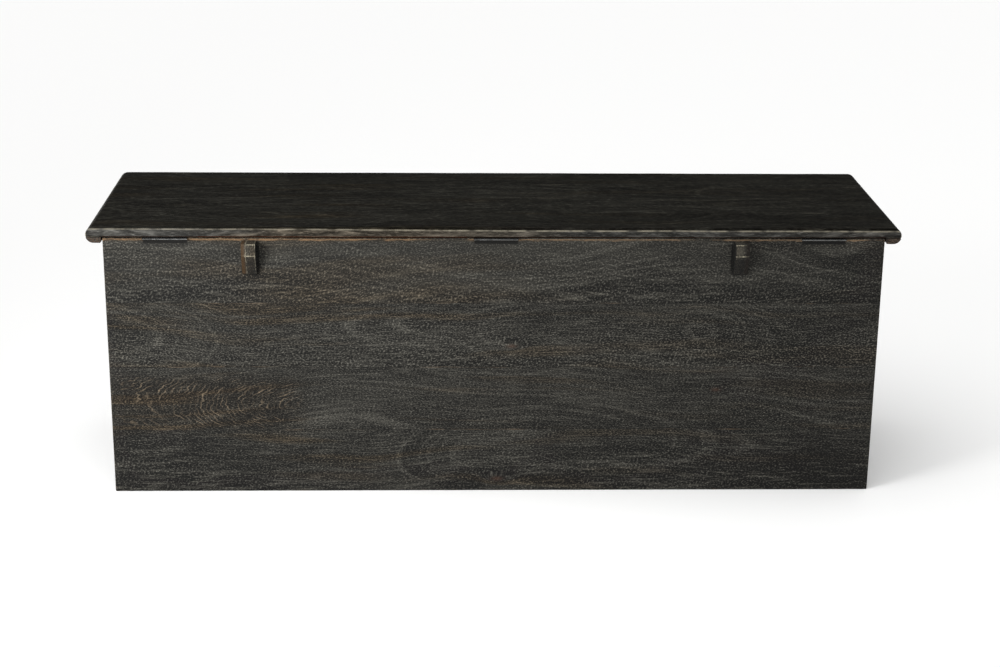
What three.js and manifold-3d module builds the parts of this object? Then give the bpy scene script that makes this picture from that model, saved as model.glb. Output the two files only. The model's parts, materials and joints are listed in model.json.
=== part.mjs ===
// Storage bench: a long solid-wood chest whose hinged lid is the seat.
// Units are millimetres. +X runs along the bench, -Y faces the front, +Z points up, and the
// origin lies on the floor under the middle of the bench. The hinges are at the back (+Y).

import * as THREE from 'three';
import { mergeVertices } from 'three/addons/utils/BufferGeometryUtils.js';
import { RoundedBoxGeometry } from 'three/addons/geometries/RoundedBoxGeometry.js';
import Module from 'manifold-3d';

const wasm = await Module();
wasm.setup();

// ---- Driving dimensions ------------------------------------------------------------------

// Whole bench
const LID_LENGTH = 1350;
const LID_DEPTH = 402;
const CASE_LENGTH = 1295;
const CASE_HEIGHT = 450;
const OVERHANG = (LID_LENGTH - CASE_LENGTH) / 2;
const CASE_DEPTH = LID_DEPTH - OVERHANG;
const STOP_DEPTH = 24;

// Fore-and-aft places: the lid's nose and the stop blocks reach equally far from the middle
const TOTAL_DEPTH = LID_DEPTH + STOP_DEPTH;
const BACK_Y = TOTAL_DEPTH / 2 - STOP_DEPTH;
const LID_FRONT_Y = BACK_Y - LID_DEPTH;
const CASE_FRONT_Y = BACK_Y - CASE_DEPTH;

// Fits
const GLUE_LINE = 0.3;
const LID_CLEARANCE = 0.5;
const EASED_EDGE = 2;

// Case
const WALL = 18;
const POST = 28;
const POST_TOP_CLEARANCE = 12;
const POST_FOOT_CLEARANCE = 3;
const CLEAT = 20;
const CLEAT_UNDERSIDE = 20;
const BOTTOM_THICKNESS = 12;

// Lid
const LID_THICKNESS = 17;
const NOSE_THICKNESS = 26.5;
const NOSE_CORNER_RADIUS = 14;
const STRIP_WIDTH = 25;
const BATTEN_WIDTH = 45;
const BATTEN_THICKNESS = 15;
const BATTEN_LENGTH = 290;
const BATTEN_X = 300;
const BATTEN_BACK_CLEARANCE = 25;
const BATTEN_SCREW_PITCH = 210;

// Lid stop blocks on the back of the case
const STOP_X = 407;
const STOP_WIDTH = 25;
const STOP_TOP_DROP = 5;
const STOP_FACE_HEIGHT = 20;
const STOP_HEIGHT = 57;
const STOP_TOE_DEPTH = 5;
const STOP_SCREW_DROPS = [12, 30];

// Butt hinges
const HINGE_X = [-545, 0, 545];
const LEAF_LENGTH = 72;
const LEAF_WIDTH = 15.5;
const LEAF_THICKNESS = 1.5;
const LEAF_GAP = 0.5;
const KNUCKLE_COUNT = 5;
const KNUCKLE_RADIUS = 3;
const KNUCKLE_GAP = 0.4;
const PIN_RADIUS = 1.5;
const PIN_CLEARANCE = 0.1;
const PIN_HEAD_RADIUS = 2.2;
const PIN_HEAD_THICKNESS = 0.8;
const HINGE_SCREW_PITCH = 24;
const ROUND_SEGMENTS = 12;

// Countersunk screws, by radius of shank and head
const HINGE_SCREW = { shank: 1.5, head: 2.9, headHeight: 1.4, length: 13 };
const BATTEN_SCREW = { shank: 2, head: 4, headHeight: 2.2, length: 24 };
const STOP_SCREW = { shank: 2, head: 4, headHeight: 2.2, length: 28 };
const SCREW_SEGMENTS = 8;
const SCREW_CLEARANCE = 0.3;
const SCREW_TIP = 3;
const SLOT_WIDTH = 0.8;

// How finely the bullnose is faceted, and how far a cutter runs out past the face it opens
const PANEL_NOSE_STEPS = 8;
const RIM_NOSE_STEPS = 5;
const CORNER_STEPS = 3;
const RUN_OUT = 1;
const MERGE_DISTANCE = 1e-4;

// ---- Heights worked out from the dimensions above -----------------------------------------

const LID_UNDERSIDE = CASE_HEIGHT + LID_CLEARANCE;
const LID_TOP = LID_UNDERSIDE + LID_THICKNESS;
const NOSE_RADIUS = NOSE_THICKNESS / 2;
const NOSE_UNDERSIDE = LID_TOP - NOSE_THICKNESS;
const LID_LEAF_Z = LID_UNDERSIDE - GLUE_LINE - LEAF_THICKNESS;
const CASE_LEAF_Z = LID_LEAF_Z - LEAF_GAP - LEAF_THICKNESS;
const PIVOT_Z = LID_LEAF_Z - LEAF_GAP / 2;
const PIVOT_Y = BACK_Y + KNUCKLE_RADIUS + GLUE_LINE;
const HINGE_SCREW_Y = BACK_Y - WALL / 2;

// Inner faces of the case
const INNER_X = CASE_LENGTH / 2 - WALL;
const INNER_FRONT_Y = CASE_FRONT_Y + WALL;
const INNER_BACK_Y = BACK_Y - WALL;

// ---- Materials -----------------------------------------------------------------------------

const material = (color, roughness, metalness) => () =>
  new THREE.MeshStandardMaterial({ color, roughness, metalness });
const CASE_WOOD = material(0x3f3d39, 0.75, 0);
const LID_WOOD = material(0x252420, 0.6, 0);
const INNER_WOOD = material(0x4a3a2a, 0.8, 0);
const BLACK_STEEL = material(0x1b1b1b, 0.45, 0.8);
const ZINC_STEEL = material(0x8d8f92, 0.35, 1);

// ---- Geometry helpers -----------------------------------------------------------------------

// A closed geometry as a solid that can be cut and joined.
function toSolid(geometry) {
  const bare = geometry.index ? geometry.toNonIndexed() : geometry.clone();
  bare.deleteAttribute('normal');
  bare.deleteAttribute('uv');
  const merged = mergeVertices(bare, MERGE_DISTANCE);
  const vertProperties = Float32Array.from(merged.attributes.position.array);
  const triVerts = Uint32Array.from(merged.index.array);
  return new wasm.Manifold(new wasm.Mesh({ numProp: 3, vertProperties, triVerts }));
}

function toGeometry(solid) {
  const mesh = solid.getMesh();
  const geometry = new THREE.BufferGeometry();
  geometry.setAttribute('position', new THREE.BufferAttribute(mesh.vertProperties, 3));
  geometry.setIndex(new THREE.BufferAttribute(mesh.triVerts, 1));
  geometry.computeVertexNormals();
  return geometry;
}

function cut(geometry, cutters) {
  const cutSolid = (solid, cutter) => solid.subtract(toSolid(cutter));
  return toGeometry(cutters.reduce(cutSolid, toSolid(geometry)));
}

function join(geometries) {
  const solids = geometries.map(toSolid);
  return toGeometry(solids.reduce((whole, solid) => whole.add(solid)));
}

// A box given by its lowest and highest corners.
function block(low, high) {
  const size = high.map((value, axis) => value - low[axis]);
  const middle = high.map((value, axis) => (value + low[axis]) / 2);
  return new THREE.BoxGeometry(...size).translate(...middle);
}

// A wooden board with eased edges, centred on its own origin.
function easedBoard(x, y, z, radius = EASED_EDGE) {
  return new RoundedBoxGeometry(x, y, z, 1, radius);
}

// A cylinder along X, Y or Z that starts at the point given.
function rod(radius, length, axis, start, segments = ROUND_SEGMENTS) {
  const geometry = new THREE.CylinderGeometry(radius, radius, length, segments);
  geometry.translate(0, length / 2, 0);
  if (axis === 'x') geometry.rotateZ(-Math.PI / 2);
  if (axis === 'z') geometry.rotateX(Math.PI / 2);
  return geometry.translate(...start);
}

// ---- Screws -----------------------------------------------------------------------------------

function lathe(profile, segments) {
  return new THREE.LatheGeometry(profile.map((point) => new THREE.Vector2(...point)), segments);
}

// A screw with a straight slot across its head. The head is up at Z = 0, the shank goes down.
function screwGeometry({ shank, head, headHeight, length }) {
  const body = lathe([
    [0, -length], [shank / 3, -length], [shank, SCREW_TIP - length],
    [shank, -headHeight], [head, 0], [0, 0],
  ], SCREW_SEGMENTS).rotateX(Math.PI / 2);
  const reach = head + RUN_OUT;
  const half = SLOT_WIDTH / 2;
  return cut(body, [block([-reach, -half, -headHeight / 2], [reach, half, RUN_OUT])]);
}

// The countersunk hole for a screw, run out past the surface at Z = 0.
function screwHole({ shank, head, headHeight, length }) {
  const [bore, mouth, end] = [shank, head, length].map((size) => size + SCREW_CLEARANCE);
  return lathe([
    [0, -end], [bore, -end], [bore, -headHeight], [mouth, 0], [mouth, RUN_OUT], [0, RUN_OUT],
  ], SCREW_SEGMENTS).rotateX(Math.PI / 2);
}

const HINGE_SCREW_GEOMETRY = screwGeometry(HINGE_SCREW);
const HINGE_SCREW_HOLE = screwHole(HINGE_SCREW);

// ---- Scene helpers ------------------------------------------------------------------------------

const bench = new THREE.Group();
const chest = new THREE.Group();
const lid = new THREE.Group();
bench.add(chest, lid);

function addPiece(group, name, geometry, makeMaterial, position = [0, 0, 0], turn = [0, 0, 0]) {
  const mesh = new THREE.Mesh(geometry, makeMaterial());
  mesh.name = name;
  mesh.position.set(...position);
  mesh.rotation.set(...turn);
  group.add(mesh);
}

const SIDES = [['left', -1], ['right', 1]];
const ENDS = [['front', -1], ['back', 1]];
const HINGES = HINGE_X.map((x, index) => [['left', 'middle', 'right'][index], x]);
const LEAF_SCREWS = [-HINGE_SCREW_PITCH, 0, HINGE_SCREW_PITCH];

// ---- Case ----------------------------------------------------------------------------------------

// Stopped mortises for the hinges, pilot holes under them and holes for the stop blocks' screws.
function backPanelCuts() {
  const top = CASE_HEIGHT / 2;
  const middleY = BACK_Y - WALL / 2;
  const cutters = [];
  for (const [, x] of HINGES) {
    const half = LEAF_LENGTH / 2 + GLUE_LINE;
    const floor = CASE_LEAF_Z - GLUE_LINE - top;
    const inner = BACK_Y - LEAF_WIDTH - GLUE_LINE - middleY;
    cutters.push(block([x - half, inner, floor], [x + half, WALL, top + RUN_OUT]));
    for (const offset of LEAF_SCREWS) {
      const radius = HINGE_SCREW.shank + SCREW_CLEARANCE;
      const tip = CASE_LEAF_Z + LEAF_THICKNESS - HINGE_SCREW.length - GLUE_LINE - top;
      const start = [x + offset, HINGE_SCREW_Y - middleY, tip];
      cutters.push(rod(radius, HINGE_SCREW.length, 'z', start, SCREW_SEGMENTS));
    }
  }
  for (const [, side] of SIDES) {
    for (const drop of STOP_SCREW_DROPS) {
      const place = [side * STOP_X, -WALL / 2, top - STOP_TOP_DROP - drop];
      cutters.push(screwHole(STOP_SCREW).rotateX(Math.PI / 2).translate(...place));
    }
  }
  return cutters;
}

function addPanels() {
  const board = easedBoard(CASE_LENGTH, WALL, CASE_HEIGHT);
  const middleZ = CASE_HEIGHT / 2;
  addPiece(chest, 'back_panel', cut(board, backPanelCuts()), CASE_WOOD,
    [0, BACK_Y - WALL / 2, middleZ]);
  addPiece(chest, 'front_panel', board, CASE_WOOD, [0, CASE_FRONT_Y + WALL / 2, middleZ]);
  const depth = INNER_BACK_Y - INNER_FRONT_Y - 2 * GLUE_LINE;
  const middleY = (INNER_BACK_Y + INNER_FRONT_Y) / 2;
  for (const [name, side] of SIDES) {
    addPiece(chest, `side_panel_${name}`, easedBoard(WALL, depth, CASE_HEIGHT), CASE_WOOD,
      [side * (INNER_X + WALL / 2), middleY, middleZ]);
  }
}

// The bottom lies on the cleats and is notched round the four posts.
function addBottom() {
  const x = INNER_X - GLUE_LINE;
  const y = (INNER_BACK_Y - INNER_FRONT_Y) / 2 - GLUE_LINE;
  const notchX = INNER_X - POST - 2 * GLUE_LINE;
  const notchY = y - POST - GLUE_LINE;
  const outline = new THREE.Shape([
    [-notchX, -y], [notchX, -y], [notchX, -notchY], [x, -notchY],
    [x, notchY], [notchX, notchY], [notchX, y], [-notchX, y],
    [-notchX, notchY], [-x, notchY], [-x, -notchY], [-notchX, -notchY],
  ].map((point) => new THREE.Vector2(...point)));
  const board = new THREE.ExtrudeGeometry(outline, { depth: BOTTOM_THICKNESS, bevelEnabled: false });
  const height = CLEAT_UNDERSIDE + CLEAT + GLUE_LINE;
  addPiece(chest, 'bottom_panel', board, INNER_WOOD,
    [0, (INNER_BACK_Y + INNER_FRONT_Y) / 2, height]);
}

// Square posts in the four inside corners, with cleats between them under the bottom.
function addInnerFrame() {
  const postHeight = CASE_HEIGHT - POST_TOP_CLEARANCE - POST_FOOT_CLEARANCE;
  const postZ = POST_FOOT_CLEARANCE + postHeight / 2;
  const cleatZ = CLEAT_UNDERSIDE + CLEAT / 2;
  const middleY = (INNER_BACK_Y + INNER_FRONT_Y) / 2;
  const halfDepth = (INNER_BACK_Y - INNER_FRONT_Y) / 2;
  const longCleat = 2 * (INNER_X - POST - 2 * GLUE_LINE);
  const shortCleat = 2 * (halfDepth - POST - 2 * GLUE_LINE);
  for (const [endName, end] of ENDS) {
    const postY = middleY + end * (halfDepth - GLUE_LINE - POST / 2);
    for (const [sideName, side] of SIDES) {
      addPiece(chest, `corner_post_${endName}_${sideName}`, easedBoard(POST, POST, postHeight),
        INNER_WOOD, [side * (INNER_X - GLUE_LINE - POST / 2), postY, postZ]);
    }
    addPiece(chest, `bottom_cleat_${endName}`, easedBoard(longCleat, CLEAT, CLEAT), INNER_WOOD,
      [0, middleY + end * (halfDepth - GLUE_LINE - CLEAT / 2), cleatZ]);
  }
  for (const [name, side] of SIDES) {
    addPiece(chest, `bottom_cleat_${name}`, easedBoard(CLEAT, shortCleat, CLEAT), INNER_WOOD,
      [side * (INNER_X - GLUE_LINE - CLEAT / 2), middleY, cleatZ]);
  }
}

// Blocks on which the opened lid's back edge comes to rest. Each is screwed on from inside.
function addLidStops() {
  const outline = new THREE.Shape([
    [0, 0], [STOP_DEPTH - GLUE_LINE, 0], [STOP_DEPTH - GLUE_LINE, -STOP_FACE_HEIGHT],
    [STOP_TOE_DEPTH, -STOP_HEIGHT], [0, -STOP_HEIGHT],
  ].map((point) => new THREE.Vector2(...point)));
  const screw = screwGeometry(STOP_SCREW);
  const holeDepth = STOP_SCREW.length - WALL + SCREW_CLEARANCE;
  const holeRadius = STOP_SCREW.shank + SCREW_CLEARANCE;
  const height = CASE_HEIGHT - STOP_TOP_DROP;
  for (const [name, side] of SIDES) {
    const profile = new THREE.ExtrudeGeometry(outline, { depth: STOP_WIDTH, bevelEnabled: false });
    profile.translate(0, 0, -STOP_WIDTH / 2).rotateX(Math.PI / 2).rotateZ(Math.PI / 2);
    const holes = STOP_SCREW_DROPS.map((drop) =>
      rod(holeRadius, holeDepth + RUN_OUT, 'y', [0, -RUN_OUT, -drop], SCREW_SEGMENTS));
    addPiece(chest, `lid_stop_${name}`, cut(profile, holes), CASE_WOOD,
      [side * STOP_X, BACK_Y + GLUE_LINE, height]);
    STOP_SCREW_DROPS.forEach((drop, index) => {
      addPiece(chest, `lid_stop_screw_${name}_${['upper', 'lower'][index]}`, screw, ZINC_STEEL,
        [side * STOP_X, INNER_BACK_Y, height - drop], [Math.PI / 2, 0, 0]);
    });
  }
}

// ---- Lid --------------------------------------------------------------------------------------------

// One level of the bullnose: the lid's outline, drawn in by `inset` at the front and both ends.
function noseOutline(inset) {
  const x = LID_LENGTH / 2 - inset;
  const front = LID_FRONT_Y + inset;
  const radius = NOSE_CORNER_RADIUS - inset;
  const outline = new THREE.Path();
  outline.moveTo(-x, BACK_Y);
  outline.lineTo(-x, front + radius);
  outline.absarc(-x + radius, front + radius, radius, Math.PI, 1.5 * Math.PI);
  outline.absarc(x - radius, front + radius, radius, 1.5 * Math.PI, 2 * Math.PI);
  outline.lineTo(x, BACK_Y);
  return outline.getPoints(CORNER_STEPS);
}

// A slab between two heights whose front and ends follow the bullnose. Rings of equal length are
// joined by quads, and the flat faces above and below are fans, as the outline is convex.
function noseSlab(low, high, steps) {
  const middle = LID_TOP - NOSE_RADIUS;
  const [start, end] = [low, high].map((z) => Math.asin((z - middle) / NOSE_RADIUS));
  const rings = [];
  for (let step = 0; step <= steps; step += 1) {
    const angle = start + ((end - start) * step) / steps;
    const z = middle + NOSE_RADIUS * Math.sin(angle);
    const inset = NOSE_RADIUS * (1 - Math.cos(angle));
    rings.push(noseOutline(inset).map((point) => [point.x, point.y, z]));
  }
  const count = rings[0].length;
  const index = [];
  for (let step = 0; step < steps; step += 1) {
    for (let here = 0; here < count; here += 1) {
      const next = (here + 1) % count;
      const below = step * count;
      const above = below + count;
      index.push(below + here, below + next, above + next);
      index.push(below + here, above + next, above + here);
    }
  }
  const topRing = steps * count;
  for (let corner = 1; corner < count - 1; corner += 1) {
    index.push(0, corner + 1, corner);
    index.push(topRing, topRing + corner, topRing + corner + 1);
  }
  const geometry = new THREE.BufferGeometry();
  geometry.setAttribute('position', new THREE.Float32BufferAttribute(rings.flat(2), 3));
  geometry.setIndex(index);
  return geometry;
}

function addLidPanel() {
  const radius = HINGE_SCREW.shank + SCREW_CLEARANCE;
  const pilots = HINGES.flatMap(([, x]) => LEAF_SCREWS.map((offset) => {
    const start = [x + offset, HINGE_SCREW_Y, LID_UNDERSIDE - RUN_OUT];
    return rod(radius, HINGE_SCREW.length, 'z', start, SCREW_SEGMENTS);
  }));
  const battenRadius = BATTEN_SCREW.shank + SCREW_CLEARANCE;
  const battenDepth = BATTEN_SCREW.length - BATTEN_THICKNESS + SCREW_CLEARANCE;
  for (const [x, y] of battenScrewPlaces()) {
    const start = [x, y, LID_UNDERSIDE - RUN_OUT];
    pilots.push(rod(battenRadius, battenDepth + RUN_OUT, 'z', start, SCREW_SEGMENTS));
  }
  const slab = noseSlab(LID_UNDERSIDE, LID_TOP, PANEL_NOSE_STEPS);
  addPiece(lid, 'lid_panel', cut(slab, pilots), LID_WOOD);
}

// The strips glued under the lid's rim, mitred at the front corners.
function addRimStrips() {
  const top = LID_UNDERSIDE - GLUE_LINE;
  const innerX = LID_LENGTH / 2 - STRIP_WIDTH;
  const innerY = LID_FRONT_Y + STRIP_WIDTH;
  const opening = block([-innerX, innerY, 0], [innerX, BACK_Y + RUN_OUT, LID_TOP]);
  const rim = toSolid(noseSlab(NOSE_UNDERSIDE, top, RIM_NOSE_STEPS)).subtract(toSolid(opening));
  const cornerX = LID_LENGTH / 2;
  const reach = STRIP_WIDTH * 2;
  // In plan, everything in front of the two mitre lines, moved by half a glue line either way.
  const frontWedge = (shift) => {
    const outline = new THREE.Shape([
      [-cornerX - reach, LID_FRONT_Y - reach + shift],
      [cornerX + reach, LID_FRONT_Y - reach + shift],
      [cornerX - reach, LID_FRONT_Y + reach + shift],
      [-cornerX + reach, LID_FRONT_Y + reach + shift],
    ].map((point) => new THREE.Vector2(...point)));
    return toSolid(new THREE.ExtrudeGeometry(outline, { depth: LID_TOP, bevelEnabled: false }));
  };
  const halfGap = GLUE_LINE * Math.SQRT1_2;
  addPiece(lid, 'lid_rim_front', toGeometry(rim.intersect(frontWedge(-halfGap))), LID_WOOD);
  const ends = rim.subtract(frontWedge(halfGap));
  for (const [name, side] of SIDES) {
    const half = block([0, LID_FRONT_Y, 0], [cornerX, BACK_Y, LID_TOP]);
    if (side < 0) half.translate(-cornerX, 0, 0);
    addPiece(lid, `lid_rim_${name}`, toGeometry(ends.intersect(toSolid(half))), LID_WOOD);
  }
}

const BATTEN_Y = INNER_BACK_Y - BATTEN_BACK_CLEARANCE - BATTEN_LENGTH / 2;

function battenScrewPlaces() {
  const places = [];
  for (const [, side] of SIDES) {
    for (const [, end] of ENDS) {
      places.push([side * BATTEN_X, BATTEN_Y + (end * BATTEN_SCREW_PITCH) / 2]);
    }
  }
  return places;
}

// Cross battens that keep the lid flat, screwed on from below.
function addBattens() {
  const middleZ = LID_UNDERSIDE - GLUE_LINE - BATTEN_THICKNESS / 2;
  const hole = screwHole(BATTEN_SCREW).rotateX(Math.PI);
  const places = battenScrewPlaces();
  for (const [name, side] of SIDES) {
    const x = side * BATTEN_X;
    const holes = places.filter(([placeX]) => placeX === x).map(([, y]) =>
      hole.clone().translate(0, y - BATTEN_Y, -BATTEN_THICKNESS / 2));
    const board = easedBoard(BATTEN_WIDTH, BATTEN_LENGTH, BATTEN_THICKNESS);
    addPiece(lid, `lid_batten_${name}`, cut(board, holes), INNER_WOOD, [x, BATTEN_Y, middleZ]);
  }
  const screw = screwGeometry(BATTEN_SCREW);
  places.forEach(([x, y], index) => {
    const side = x < 0 ? 'left' : 'right';
    const end = ENDS[index % 2][0];
    addPiece(lid, `lid_batten_screw_${side}_${end}`, screw, ZINC_STEEL,
      [x, y, middleZ - BATTEN_THICKNESS / 2], [Math.PI, 0, 0]);
  });
}

// ---- Hinges -----------------------------------------------------------------------------------------

const KNUCKLE_PITCH = LEAF_LENGTH / KNUCKLE_COUNT;

// A leaf with the knuckles that belong to it, about the pivot. `up` is 1 for the lid's leaf.
function hingeLeaf(up) {
  const near = up > 0 ? LEAF_GAP / 2 : -LEAF_GAP / 2 - LEAF_THICKNESS;
  const plateEnd = BACK_Y - GLUE_LINE / 2 - PIVOT_Y;
  const plateStart = BACK_Y - LEAF_WIDTH - PIVOT_Y;
  const half = LEAF_LENGTH / 2;
  const parts = [block([-half, plateStart, near], [half, plateEnd, near + LEAF_THICKNESS])];
  for (let index = 0; index < KNUCKLE_COUNT; index += 1) {
    const belongs = (index % 2 === 1) === (up > 0);
    if (!belongs) continue;
    const start = -half + index * KNUCKLE_PITCH + KNUCKLE_GAP / 2;
    const end = start + KNUCKLE_PITCH - KNUCKLE_GAP;
    parts.push(rod(KNUCKLE_RADIUS, end - start, 'x', [start, 0, 0]));
    parts.push(block([start, plateEnd - RUN_OUT, near], [end, 0, near + LEAF_THICKNESS]));
  }
  const boreLength = LEAF_LENGTH + 2 * RUN_OUT;
  const bore = rod(PIN_RADIUS + PIN_CLEARANCE, boreLength, 'x', [-half - RUN_OUT, 0, 0]);
  const faceZ = up * (LEAF_GAP / 2);
  const holes = LEAF_SCREWS.map((offset) => {
    const hole = HINGE_SCREW_HOLE.clone();
    if (up > 0) hole.rotateX(Math.PI);
    return hole.translate(offset, HINGE_SCREW_Y - PIVOT_Y, faceZ);
  });
  return cut(join(parts), [bore, ...holes]);
}

// A plain pin with a low head on each end of the barrel.
function hingePin() {
  const neck = LEAF_LENGTH / 2 + GLUE_LINE;
  const rim = neck + PIN_HEAD_THICKNESS / 2;
  const end = neck + PIN_HEAD_THICKNESS;
  const upper = [[PIN_RADIUS, neck], [PIN_HEAD_RADIUS, neck], [PIN_HEAD_RADIUS, rim], [0, end]];
  const lower = upper.map(([radius, along]) => [radius, -along]).reverse();
  return lathe([...lower, ...upper], ROUND_SEGMENTS).rotateZ(-Math.PI / 2);
}

function addHinges() {
  const leaves = { case: hingeLeaf(-1), lid: hingeLeaf(1) };
  const pin = hingePin();
  for (const [name, x] of HINGES) {
    addPiece(chest, `hinge_case_leaf_${name}`, leaves.case, BLACK_STEEL, [x, PIVOT_Y, PIVOT_Z]);
    addPiece(lid, `hinge_lid_leaf_${name}`, leaves.lid, BLACK_STEEL, [x, PIVOT_Y, PIVOT_Z]);
    addPiece(chest, `hinge_pin_${name}`, pin, BLACK_STEEL, [x, PIVOT_Y, PIVOT_Z]);
    LEAF_SCREWS.forEach((offset, index) => {
      const place = [x + offset, HINGE_SCREW_Y];
      addPiece(chest, `hinge_case_screw_${name}_${index + 1}`, HINGE_SCREW_GEOMETRY, BLACK_STEEL,
        [...place, PIVOT_Z - LEAF_GAP / 2]);
      addPiece(lid, `hinge_lid_screw_${name}_${index + 1}`, HINGE_SCREW_GEOMETRY, BLACK_STEEL,
        [...place, PIVOT_Z + LEAF_GAP / 2], [Math.PI, 0, 0]);
    });
  }
}

addPanels();
addBottom();
addInnerFrame();
addLidStops();
addLidPanel();
addRimStrips();
addBattens();
addHinges();

export default bench;
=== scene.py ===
"""The looks of the storage bench: stained open-grained wood and black butt hinges, in a plain pale studio.

Metres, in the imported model's frame: +X along the bench, +Y to the back with the hinges, +Z up."""

import json
import math

import bmesh
import bpy
from mathutils import Matrix, Vector, noise


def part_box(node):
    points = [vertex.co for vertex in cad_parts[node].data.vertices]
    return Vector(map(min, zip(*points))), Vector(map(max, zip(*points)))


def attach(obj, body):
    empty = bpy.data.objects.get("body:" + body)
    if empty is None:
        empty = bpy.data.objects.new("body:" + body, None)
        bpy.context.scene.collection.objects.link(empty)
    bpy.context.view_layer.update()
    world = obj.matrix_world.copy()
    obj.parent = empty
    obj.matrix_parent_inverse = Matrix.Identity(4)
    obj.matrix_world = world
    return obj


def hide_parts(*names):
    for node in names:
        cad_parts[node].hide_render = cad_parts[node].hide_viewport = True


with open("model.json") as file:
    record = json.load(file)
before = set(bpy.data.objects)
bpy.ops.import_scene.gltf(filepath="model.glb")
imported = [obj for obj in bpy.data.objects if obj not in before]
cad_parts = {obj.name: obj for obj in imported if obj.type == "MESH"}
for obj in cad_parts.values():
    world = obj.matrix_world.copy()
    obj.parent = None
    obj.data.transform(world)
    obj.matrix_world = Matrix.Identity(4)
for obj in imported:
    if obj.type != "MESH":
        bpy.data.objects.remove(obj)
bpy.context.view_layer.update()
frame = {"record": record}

MM = 0.001
GLUE_LINE = 0.3 * MM
LID_LOW, LID_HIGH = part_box("lid_panel")
BACK_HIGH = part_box("back_panel")[1]
RIM_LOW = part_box("lid_rim_front")[0]
BACK_Y = BACK_HIGH.y
LID_TOP = LID_HIGH.z
PIVOT = Vector(frame["record"]["behaviour"]["joints"][0]["pos_m"])
HINGES = ("left", "middle", "right")
SIDES = ("left", "right")

# ---- Camera, lights and floor ----

LENS, SENSOR = 70.56, 36.0
CAMERA_AT = Vector((0.1028, BACK_Y + 3.1262, 1.3051))
SURROUND = (0.35, 0.75)
CAMERA_YAW, CAMERA_PITCH, CAMERA_ROLL = -0.0354, 0.3154, 0.011


def add_camera():
    """A camera behind the bench, a little to one side, that looks down on it."""
    ahead = Vector((
        math.sin(CAMERA_YAW) * math.cos(CAMERA_PITCH),
        -math.cos(CAMERA_YAW) * math.cos(CAMERA_PITCH),
        -math.sin(CAMERA_PITCH),
    ))
    level = ahead.cross(Vector((0, 0, 1))).normalized()
    upward = level.cross(ahead)
    right = math.cos(CAMERA_ROLL) * level + math.sin(CAMERA_ROLL) * upward
    up = math.cos(CAMERA_ROLL) * upward - math.sin(CAMERA_ROLL) * level
    data = bpy.data.cameras.new("camera")
    data.lens, data.sensor_width = LENS, SENSOR
    camera = bpy.data.objects.new("camera", data)
    axes = Matrix((right, up, -ahead)).transposed().to_4x4()
    camera.matrix_world = Matrix.Translation(CAMERA_AT) @ axes
    bpy.context.scene.collection.objects.link(camera)
    bpy.context.scene.camera = camera


def add_lamp(name, kind, place, target, power, **settings):
    data = bpy.data.lights.new(name, kind)
    data.energy = power
    for key, value in settings.items():
        setattr(data, key, value)
    lamp = bpy.data.objects.new(name, data)
    lamp.location = place
    lamp.rotation_euler = (Vector(target) - Vector(place)).to_track_quat("-Z", "Y").to_euler()
    lamp.visible_camera = False
    bpy.context.scene.collection.objects.link(lamp)


def add_studio():
    """A softbox to the camera's left, a broad soft lamp above, an even surround and a pale floor."""
    add_lamp("key", "AREA", (1.30, BACK_Y + 1.10, 0.80), (0.20, BACK_Y, 0.46), 7.4, size=0.7,
             spread=math.radians(80))
    add_lamp("top", "SUN", (0.5, 0.8, 2.6), (0, 0, 0), 1.3, angle=math.radians(70))
    world = bpy.data.worlds.new("surround")
    bpy.context.scene.world = world
    world.use_nodes = True
    tree = world.node_tree
    height = tree.nodes.new("ShaderNodeSeparateXYZ")
    tree.links.new(tree.nodes.new("ShaderNodeTexCoord").outputs["Generated"], height.inputs[0])
    ramp = tree.nodes.new("ShaderNodeMapRange")
    tree.links.new(height.outputs["Z"], ramp.inputs["Value"])
    ramp.inputs["To Min"].default_value, ramp.inputs["To Max"].default_value = SURROUND
    tree.links.new(ramp.outputs[0], tree.nodes["Background"].inputs["Strength"])
    tree.nodes["Background"].inputs["Color"].default_value = (1, 1, 1, 1)
    bpy.context.scene.view_settings.view_transform = "Standard"
    bpy.ops.mesh.primitive_plane_add(size=60)
    floor = bpy.context.object
    floor.name = "floor"
    paper = bpy.data.materials.new("paper")
    paper.use_nodes = True
    shader = paper.node_tree.nodes["Principled BSDF"]
    shader.inputs["Base Color"].default_value = (0.97, 0.97, 0.965, 1)
    shader.inputs["Roughness"].default_value = 0.9
    shader.inputs["Specular IOR Level"].default_value = 0.05
    floor.data.materials.append(paper)


# ---- Material nodes ----

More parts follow.
